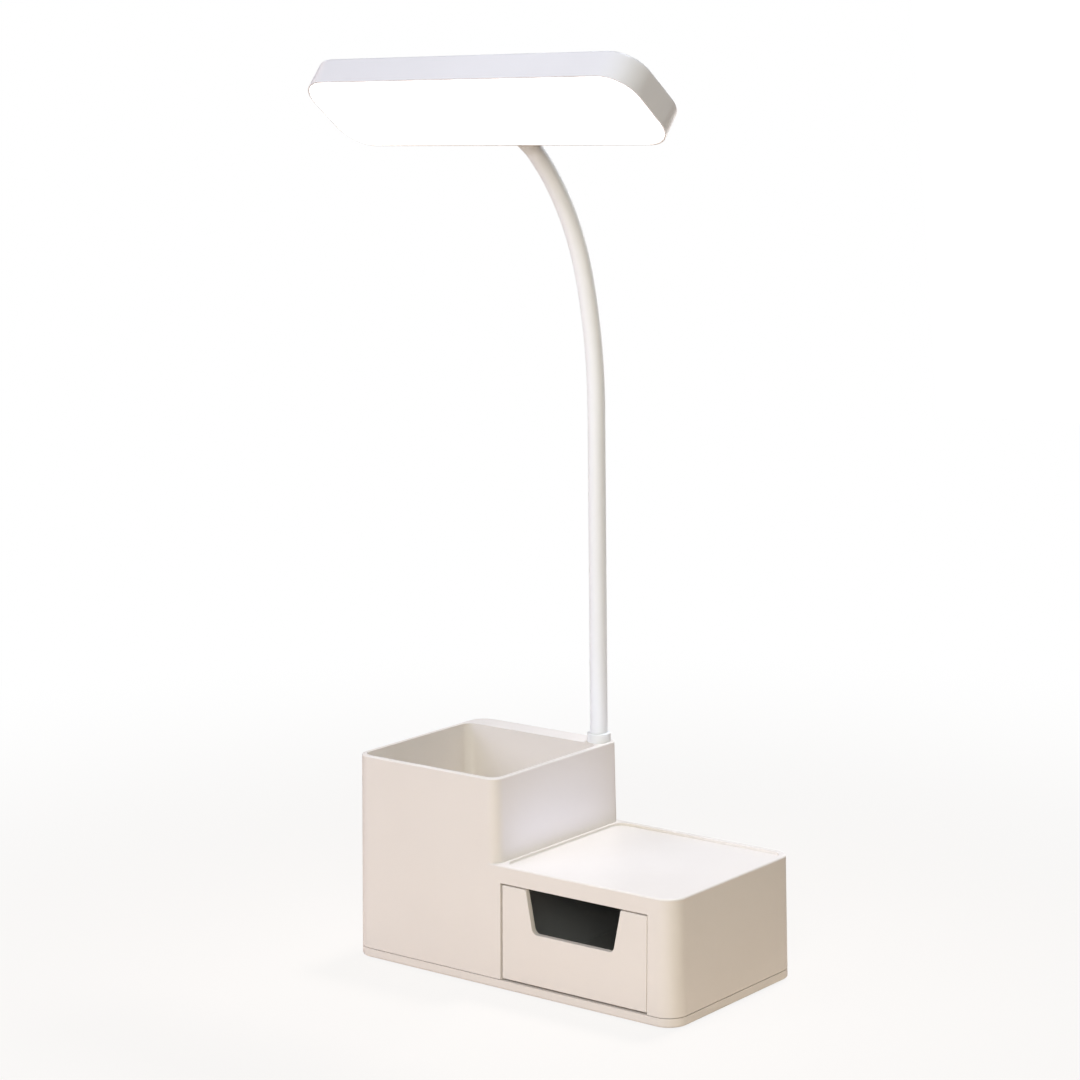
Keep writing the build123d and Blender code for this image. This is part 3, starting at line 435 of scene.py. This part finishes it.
@dataclass
class Finishes:
    """Every material of the lamp, made once."""

    ivory: bpy.types.Material = field(default_factory=MouldedPlastic(
        "ivory_plastic", (0.80, 0.74, 0.68), (0.772, 0.708, 0.645), 0.45).make)
    # Painted shade: a dark grey for the drawer's inner faces, which are the same ivory plastic lying in
    # shadow.
    inside: bpy.types.Material = field(default_factory=MouldedPlastic(
        "drawer_inside_painted_shade", (0.26, 0.26, 0.26), (0.22, 0.22, 0.22), 0.6).make)
    white: bpy.types.Material = field(default_factory=MouldedPlastic(
        "white_plastic", (0.86, 0.86, 0.85), (0.82, 0.82, 0.81), 0.38, Surface.SATIN).make)
    shell: bpy.types.Material = field(default_factory=MouldedPlastic(
        "head_shell_plastic", (0.82, 0.805, 0.825), (0.775, 0.76, 0.78), 0.4, Surface.SATIN).make)
    cover: bpy.types.Material = field(default_factory=LitCover().make)
    sleeve: bpy.types.Material = field(default_factory=Silicone(
        "neck_silicone", (0.88, 0.88, 0.88), (0.83, 0.83, 0.83)).make)
    pad: bpy.types.Material = field(default_factory=RibbedRubber().make)
    steel: bpy.types.Material = field(default_factory=PlatedSteel("plated_steel").make)
    dark_steel: bpy.types.Material = field(default_factory=PlatedSteel(
        "blackened_steel", (0.16, 0.16, 0.17), (0.10, 0.10, 0.11), 0.4).make)
    green_board: bpy.types.Material = field(default_factory=BoardLacquer(
        "green_lacquer", (0.01, 0.16, 0.06), (0.02, 0.24, 0.10)).make)
    white_board: bpy.types.Material = field(default_factory=BoardLacquer(
        "white_lacquer", (0.78, 0.78, 0.76), (0.70, 0.70, 0.68)).make)
    cell: bpy.types.Material = field(default_factory=ShrinkSleeve().make)
    black: bpy.types.Material = field(default_factory=MouldedPlastic(
        "black_plastic", (0.03, 0.03, 0.03), (0.02, 0.02, 0.02), 0.5).make)
    jacket: bpy.types.Material = field(default_factory=Silicone(
        "lead_jacket", (0.70, 0.69, 0.66), (0.60, 0.59, 0.56)).make)
    chip: bpy.types.Material = field(default_factory=MouldedPlastic(
        "chip_gel", (0.86, 0.68, 0.22), (0.80, 0.60, 0.16), 0.25, Surface.POLISHED).make)
    reflector: bpy.types.Material = field(default_factory=MouldedPlastic(
        "reflector_film", (0.90, 0.90, 0.89), (0.87, 0.87, 0.86), 0.35, Surface.SATIN).make)


def put_in_scene(thing: bpy.types.Object) -> None:
    """Link an object to the scene's collection."""
    bpy.context.scene.collection.objects.link(thing)


def dress(node: str, material: bpy.types.Material) -> None:
    """Give a CAD node its material.

    Args:
        node: The node's name.
        material: The material for all of it.
    """
    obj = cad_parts[node]
    obj.data.materials.clear()
    obj.data.materials.append(material)
    LOG.info("dressed %s in %s", node, material.name)


def smooth_skin(node: str, body: str, material: bpy.types.Material, edge: float = 0.0) -> bpy.types.Object:
    """Stand a merged, smooth-shaded copy in for a CAD node, so that its round edges shade as curves.

    Args:
        node: The node that the copy replaces.
        body: The body that the copy rides on.
        material: The copy's material.
        edge: The width in metres of the small rounding that its crisp edges get, or 0 for none.

    Returns:
        The copy.
    """
    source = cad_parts[node]
    mesh = source.data.copy()
    mesh.transform(source.matrix_world)
    build = bmesh.new()
    build.from_mesh(mesh)
    bmesh.ops.remove_doubles(build, verts=build.verts, dist=MERGE_GAP)
    bmesh.ops.dissolve_degenerate(build, edges=build.edges, dist=SLIVER)
    if edge:
        round_crisp_edges(build, edge)
    for face in build.faces:
        face.smooth = True
    for rim in build.edges:
        rim.smooth = rim.calc_face_angle(pi) < CREASE
    build.to_mesh(mesh)
    build.free()
    mesh.materials.clear()
    mesh.materials.append(material)
    skin = bpy.data.objects.new(f"{node}_skin", mesh)
    put_in_scene(skin)
    normals = skin.modifiers.new("even_normals", "WEIGHTED_NORMAL")
    normals.keep_sharp = True
    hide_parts(node)
    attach(skin, body)
    LOG.info("skinned %s", node)
    return skin


def round_crisp_edges(build: bmesh.types.BMesh, width: float) -> None:
    """Round the outward edges that are still square.

    Args:
        build: The mesh to work on.
        width: The rounding's width in metres.
    """
    bmesh.ops.dissolve_limit(build, angle_limit=FLAT, verts=build.verts, edges=build.edges,
                             use_dissolve_boundaries=False, delimit=set())
    square = [rim for rim in build.edges if rim.is_manifold and rim.calc_face_angle_signed(0) > SQUARE]
    bmesh.ops.bevel(build, geom=square, offset=width, offset_type="OFFSET", segments=2, profile=0.5,
                    affect="EDGES", clamp_overlap=True, material=-1)
    bmesh.ops.triangulate(build, faces=[face for face in build.faces if len(face.verts) > 4])


def paint_shade_within(skin: bpy.types.Object, low: Vector, high: Vector, material: bpy.types.Material) -> None:
    """Give the faces that lie wholly within a box a second material, which here is painted shade.

    Args:
        skin: The piece.
        low: The box's lowest corner.
        high: The box's highest corner.
        material: The material inside the box.
    """
    skin.data.materials.append(material)
    for face in skin.data.polygons:
        places = [skin.data.vertices[k].co for k in face.vertices]
        if all(low[k] <= place[k] <= high[k] for place in places for k in range(3)):
            face.material_index = 1


@dataclass(frozen=True)
class Softbox:
    """One square soft light.

    Its place, aim and side are in metres, its power in watts for each colour, and its spread in radians.
    """

    name: str
    place: Triple
    aim: Triple
    side: float
    power: Triple
    spread: float = pi
    seen: bool = True

    def hang(self) -> None:
        """Hang the light."""
        data = bpy.data.lights.new(self.name, "AREA")
        data.size = self.side
        data.spread = self.spread
        data.energy = max(self.power)
        data.color = [share / max(self.power) for share in self.power]
        light = bpy.data.objects.new(self.name, data)
        light.location = self.place
        light.visible_camera = self.seen
        light.rotation_mode = "QUATERNION"
        light.rotation_quaternion = (Vector(self.aim) - Vector(self.place)).to_track_quat("-Z", "Y")
        put_in_scene(light)


FRONT_LEFT = Softbox("front_left_softbox", place=(-0.9, -1.6, 0.9), aim=(0.0, 0.0, 0.15), side=1.1,
                     power=(12.5, 13.3, 17.2))
FRONT_RIGHT = Softbox("front_right_softbox", place=(0.9, -1.4, 1.0), aim=(0.0, 0.0, 0.15), side=1.0,
                      power=(19.5, 19.9, 18.3))
LEFT = Softbox("left_softbox", place=(-1.6, 0.0, 0.8), aim=(0.0, 0.0, 0.15), side=1.0,
               power=(5.0, 4.0, 3.2))
BACK = Softbox("back_softbox", place=(-0.3, 1.9, 0.5), aim=(0.0, 0.0, 0.12), side=1.2,
               power=(15.0, 15.0, 15.0))
TOP_BEAM = Softbox("top_beam", place=(0.06, 0.55, 1.6), aim=(0.03, 0.0, 0.06), side=0.3,
                   power=(0.33, 0.355, 0.41), spread=radians(22.0))
# A weak lamp that lies on the tray, hidden from the camera, for the light that the tray throws back up.
TRAY_BOUNCE = Softbox("tray_bounce", place=(0.045, 0.0, 0.0602), aim=(0.045, 0.0, 0.2), side=0.085,
                      power=(0.0145, 0.0165, 0.0255), seen=False)


@dataclass
class Studio:
    """The pale floor, the soft lights and the camera at the photograph's place."""

    frame_pixels: float = 1080.0
    focal_pixels: float = 2861.24376
    pitch: float = 0.169454521
    yaw: float = -0.665604087
    roll: float = -0.0112870182
    eye: Vector = field(default_factory=lambda: Vector((0.801593, -1.042070, 0.431375)))
    sensor: float = 36.0
    floor_radius: float = 60.0
    floor_sides: int = 96
    floor_colour: Triple = (0.75, 0.60, 0.46)
    floor_haze: Triple = (0.73, 0.58, 0.44)
    floor_roughness: float = 0.9
    sweep_start: float = 0.15
    sweep_width: float = 0.6
    near_glow: float = 0.86
    backdrop: Triple = (1.0, 1.0, 1.0)
    fill: Triple = (0.10, 0.10, 0.10)
    softboxes: tuple[Softbox, ...] = (FRONT_LEFT, FRONT_RIGHT, LEFT, BACK, TOP_BEAM, TRAY_BOUNCE)

    def build(self) -> None:
        """Make the floor, the world, the lights and the camera."""
        self.camera()
        self.floor()
        self.world()
        for softbox in self.softboxes:
            softbox.hang()
        bpy.context.scene.view_settings.view_transform = "Standard"

    def camera(self) -> None:
        """Place the camera at the photograph's viewpoint."""
        level = cos(self.pitch)
        ahead = Vector((sin(self.yaw) * level, cos(self.yaw) * level, -sin(self.pitch)))
        right = Vector((cos(self.yaw), -sin(self.yaw), 0.0))
        up = right.cross(ahead)
        side = right * cos(self.roll) + up * sin(self.roll)
        top = up * cos(self.roll) - right * sin(self.roll)
        data = bpy.data.cameras.new("camera")
        data.sensor_width = self.sensor
        data.lens = self.focal_pixels / self.frame_pixels * self.sensor
        eye = bpy.data.objects.new("camera", data)
        turn = Matrix((side, top, -ahead)).transposed().to_4x4()
        eye.matrix_world = Matrix.Translation(self.eye) @ turn
        put_in_scene(eye)
        bpy.context.scene.camera = eye

    def floor(self) -> None:
        """Make the round floor, which the camera sees almost as bright as a lit paper sweep."""
        build = bmesh.new()
        bmesh.ops.create_circle(build, cap_ends=True, segments=self.floor_sides, radius=self.floor_radius)
        mesh = bpy.data.meshes.new("floor")
        build.to_mesh(mesh)
        build.free()
        mesh.materials.append(self.floor_paint())
        ground = bpy.data.objects.new("floor", mesh)
        put_in_scene(ground)

    def floor_paint(self) -> bpy.types.Material:
        """Make the floor's warm paint, over which the camera sees a white glow that grows with the radius.

        Returns:
            The material.
        """
        sheet = NodeSheet("pale_floor")
        haze = sheet.noise(scale=3.0, detail=2.0)
        colour = sheet.blend(haze, self.floor_colour, self.floor_haze)
        sheet.principled(Base_Color=colour, Roughness=self.floor_roughness)
        glow = sheet.add("ShaderNodeEmission", {}, {"Color": (*self.backdrop, 1.0), "Strength": 1.0})
        seen = sheet.add("ShaderNodeLightPath", {}, {}, "Is Camera Ray")
        radius = sheet.add("ShaderNodeVectorMath", {"operation": "LENGTH"}, {0: sheet.place()}, "Value")
        far_glow = 1.0 - self.near_glow
        share = radius.over(self.sweep_start, self.sweep_width) * far_glow + self.near_glow
        surface = Term(sheet, sheet.surface.outputs[0])
        mixed = sheet.add("ShaderNodeMixShader", {}, {0: seen * share, 1: surface, 2: glow})
        sheet.links.new(mixed.socket, sheet.output.inputs["Surface"])
        return sheet.material

    def world(self) -> None:
        """Make the surroundings: a white backdrop for the camera and a dim even fill for the lamp."""
        world = bpy.data.worlds.new("studio")
        world.use_nodes = True
        nodes, links = world.node_tree.nodes, world.node_tree.links
        nodes.clear()
        out = nodes.new("ShaderNodeOutputWorld")
        seen = nodes.new("ShaderNodeBackground")
        fill = nodes.new("ShaderNodeBackground")
        choice = nodes.new("ShaderNodeMixShader")
        rays = nodes.new("ShaderNodeLightPath")
        seen.inputs["Color"].default_value = (*self.backdrop, 1.0)
        fill.inputs["Color"].default_value = (*self.fill, 1.0)
        links.new(rays.outputs["Is Camera Ray"], choice.inputs[0])
        links.new(fill.outputs[0], choice.inputs[1])
        links.new(seen.outputs[0], choice.inputs[2])
        links.new(choice.outputs[0], out.inputs["Surface"])
        bpy.context.scene.world = world


@dataclass
class BaseUnit:
    """The housing with its cup and tray, the plate under it, the drawer and the button."""

    finishes: Finishes
    edge: float = 0.25 * MM
    drawer_wall: float = 1.6 * MM
    drawer_front: float = 3.3 * MM
    steel_nodes: tuple[str, ...] = ("base_screws", "ballast_screws", "board_screws", "battery_contacts",
                                    "usb_socket", "neck_ferrule", "neck_washer", "neck_nut")
    black_nodes: tuple[str, ...] = ("switch_plunger", "battery_holder", "tact_switch")

    def build(self) -> None:
        """Dress the outer pieces and what they hold."""
        smooth_skin("base_housing", "base", self.finishes.ivory, self.edge)
        smooth_skin("base_plate", "base", self.finishes.ivory)
        self.drawer()
        smooth_skin("power_button", "power_button", self.finishes.white)
        dress("anti_slip_pad", self.finishes.pad)
        for node in self.steel_nodes:
            dress(node, self.finishes.steel)
        for node in self.black_nodes:
            dress(node, self.finishes.black)
        dress("ballast_block", self.finishes.dark_steel)
        dress("battery_cell", self.finishes.cell)
        dress("control_board", self.finishes.green_board)
        dress("lamp_lead", self.finishes.jacket)

    def drawer(self) -> None:
        """Skin the drawer in ivory, with a painted shade of dark grey on the faces behind its front and
        within its sides.
        """
        skin = smooth_skin("drawer", "drawer", self.finishes.ivory, self.edge)
        low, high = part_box("drawer")
        within = Vector(low) + Vector((self.drawer_wall, self.drawer_front, 0.0))
        # The faces behind the front and within the sides get the dark grey painted shade.
        paint_shade_within(skin, within, Vector(high) - Vector((self.drawer_wall, 0.0, 0.0)), self.finishes.inside)


@dataclass
class NeckPath:
    """The gooseneck's centre line: spans that turn at a steady rate in one upright plane.

    The straight is a length in metres, and each bend is a length in metres and a turn in radians.
    """

    foot: Vector = field(default_factory=lambda: Vector((-0.0138, 0.0412, 0.100)))
    azimuth: float = radians(3.0)
    straight: float = 162.0 * MM
    easy_bend: tuple[float, float] = (65.4 * MM, radians(14.6))
    tight_bend: tuple[float, float] = (82.0 * MM, radians(36.5))

    def spans(self) -> list[tuple[float, float]]:
        """Each span's length and turn."""
        return [(self.straight, 0.0), self.easy_bend, self.tight_bend]

    def length(self) -> float:
        """The neck's whole length."""
        return sum(length for length, _ in self.spans())

    def ahead(self) -> Vector:
        """The level direction that the neck leans towards."""
        return Vector((-sin(self.azimuth), -cos(self.azimuth), 0.0))

    def across(self) -> Vector:
        """The axis that the neck's bends turn about."""
        return Vector((0, 0, 1)).cross(self.ahead())

    def at(self, along: float) -> tuple[Vector, Vector]:
        """Find a point of the centre line.

        Args:
            along: The length from the foot, in metres.

        Returns:
            The point and the direction there.
        """
        forward, height, heading, left = 0.0, 0.0, 0.0, along
        for length, turn in self.spans():
            step = max(0.0, min(left, length))
            left -= step
            rate = turn / length
            if rate:
                turned = heading + rate * step
                forward += (cos(heading) - cos(turned)) / rate
                height += (sin(turned) - sin(heading)) / rate
                heading = turned
            else:
                height += step
        place = self.foot + self.ahead() * forward + Vector((0, 0, height))
        return place, self.ahead() * sin(heading) + Vector((0, 0, cos(heading)))


@dataclass
class Gooseneck:
    """The sleeve as smooth lengths of tube along the neck's bent centre line, one across each hinge, with
    its collar, socket and core.
    """

    finishes: Finishes
    path: NeckPath = field(default_factory=NeckPath)
    radius: float = 4.25 * MM
    sides: int = 48
    ring_step: float = 2.0 * MM
    links: int = 7
    first_pivot: float = 20.0 * MM
    last_pivot_back: float = 18.3 * MM
    foot_gap: float = 1.25 * MM
    socket_reach: float = 6.0 * MM
    blend_share: float = 0.46

    def pivots(self) -> list[float]:
        """Space the neck's hinges evenly.

        Returns:
            The lengths from the foot at which the hinges lie.
        """
        last = self.path.length() - self.last_pivot_back
        step = (last - self.first_pivot) / self.links
        return [self.first_pivot + step * k for k in range(self.links + 1)]

    def body(self, k: int) -> str:
        """Name the body that follows a number of hinges.

        Args:
            k: The number of hinges below it.

        Returns:
            The body's name.
        """
        if k == 0:
            return "base"
        return "head" if k > self.links else f"neck_link_{k}"

    def sleeve_nodes(self, k: int) -> list[str]:
        """Name the CAD sleeves that the length of tube on one hinge stands for.

        Args:
            k: The number of hinges below the one that the tube bends across.

        Returns:
            The nodes' names.
        """
        if k == 0:
            return ["neck_sleeve_root"]
        tip = ["neck_sleeve_tip"] if k == self.links else []
        return tip + [f"neck_sleeve_{k}"]

    def tube(self, name: str, start: float, end: float) -> bpy.types.Object:
        """Make one length of sleeve by spinning a ring along the centre line.

        Args:
            name: The piece's name.
            start: Its first length from the foot.
            end: Its last length from the foot.

        Returns:
            The new object.
        """
        build = bmesh.new()
        place, direction = self.path.at(start)
        turn = direction.to_track_quat("Z", "Y").to_matrix().to_4x4()
        bmesh.ops.create_circle(build, segments=self.sides, radius=self.radius,
                                matrix=Matrix.Translation(place) @ turn)
        first = build.edges[:]
        rim = first
        reached = 0.0
        for length, bend in self.path.spans():
            low, high = max(start, reached), min(end, reached + length)
            reached += length
            if high - low >= SHORTEST_SPAN:
                rim = self.advance(build, rim, low, high, bend / length)
        for loop in (first, rim):
            cap = bmesh.ops.contextual_create(build, geom=loop)
            for edge in {edge for face in cap["faces"] for edge in face.edges}:
                edge.smooth = False
        for face in build.faces:
            face.smooth = True
        bmesh.ops.recalc_face_normals(build, faces=build.faces)
        mesh = bpy.data.meshes.new(name)
        build.to_mesh(mesh)
        build.free()
        mesh.materials.append(self.finishes.sleeve)
        piece = bpy.data.objects.new(name, mesh)
        put_in_scene(piece)
        return piece

    def advance(self, build: bmesh.types.BMesh, rim: list, low: float, high: float, rate: float) -> list:
        """Carry the last ring of a tube on over one span.

        Args:
            build: The mesh in the making.
            rim: The last ring's edges.
            low: The span's first length from the foot.
            high: Its last length from the foot.
            rate: Its turn in radians per metre.

        Returns:
            The edges of the new last ring.
        """
        place, direction = self.path.at(low)
        across = self.path.across()
        steps = max(1, round((high - low) / self.ring_step))
        ring = rim + list(dict.fromkeys(vert for edge in rim for vert in edge.verts))
        if rate:
            centre = place + across.cross(direction) / rate
            made = bmesh.ops.spin(build, geom=ring, cent=centre, axis=across, angle=rate * (high - low),
                                  steps=steps, use_merge=False, use_duplicate=False)
        else:
            made = bmesh.ops.spin(build, geom=ring, cent=place, axis=across, angle=0.0,
                                  dvec=direction * (high - low) / steps, steps=steps, use_merge=False,
                                  use_duplicate=False)
        return [item for item in made["geom_last"] if isinstance(item, bmesh.types.BMEdge)]

    def build(self) -> None:
        """Build the sleeve's lengths and dress the rest of the neck."""
        marks = self.pivots()
        middles = [(low + high) / 2 for low, high in zip(marks, marks[1:])]
        starts = [self.foot_gap] + middles
        ends = middles + [self.path.length() - self.socket_reach]
        spacing = marks[1] - marks[0]
        for k, (pivot, start, end) in enumerate(zip(marks, starts, ends)):
            name = f"sleeve_bend_{k + 1}"
            piece = self.tube(name, start, end)
            half = self.blend_share * min(spacing, 2 * (end - pivot), 2 * (pivot - start))
            place, direction = self.path.at(pivot)
            self.body(k)
            self.body(k + 1)
            place - direction * half
            place + direction * half
            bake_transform(piece)
            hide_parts(*self.sleeve_nodes(k))
            LOG.info("made %s", name)
        smooth_skin("neck_collar", "base", self.finishes.white)
        smooth_skin("head_socket", "head", self.finishes.white)
        numbered = [f"neck_core_{k + 1}" for k in range(self.links)]
        for node in ["neck_core_root", "neck_core_tip"] + numbered:
            dress(node, self.finishes.steel)


@dataclass
class LampHead:
    """The head's shell, its lit cover and the board behind it."""

    finishes: Finishes

    def build(self) -> None:
        """Dress the head's pieces."""
        smooth_skin("head_housing", "head", self.finishes.shell)
        smooth_skin("diffuser", "head", self.finishes.cover)
        dress("led_board", self.finishes.white_board)
        dress("led_chips", self.finishes.chip)
        dress("reflector_sheet", self.finishes.reflector)
        dress("head_screws", self.finishes.steel)
        dress("head_nut", self.finishes.steel)


def main() -> None:
    """Build the studio and the lamp, piece by piece."""
    logging.basicConfig(level=logging.INFO, format="%(message)s")
    Studio().build()
    finishes = Finishes()
    BaseUnit(finishes).build()
    Gooseneck(finishes).build()
    LampHead(finishes).build()


if __name__ == "__main__":
    main()
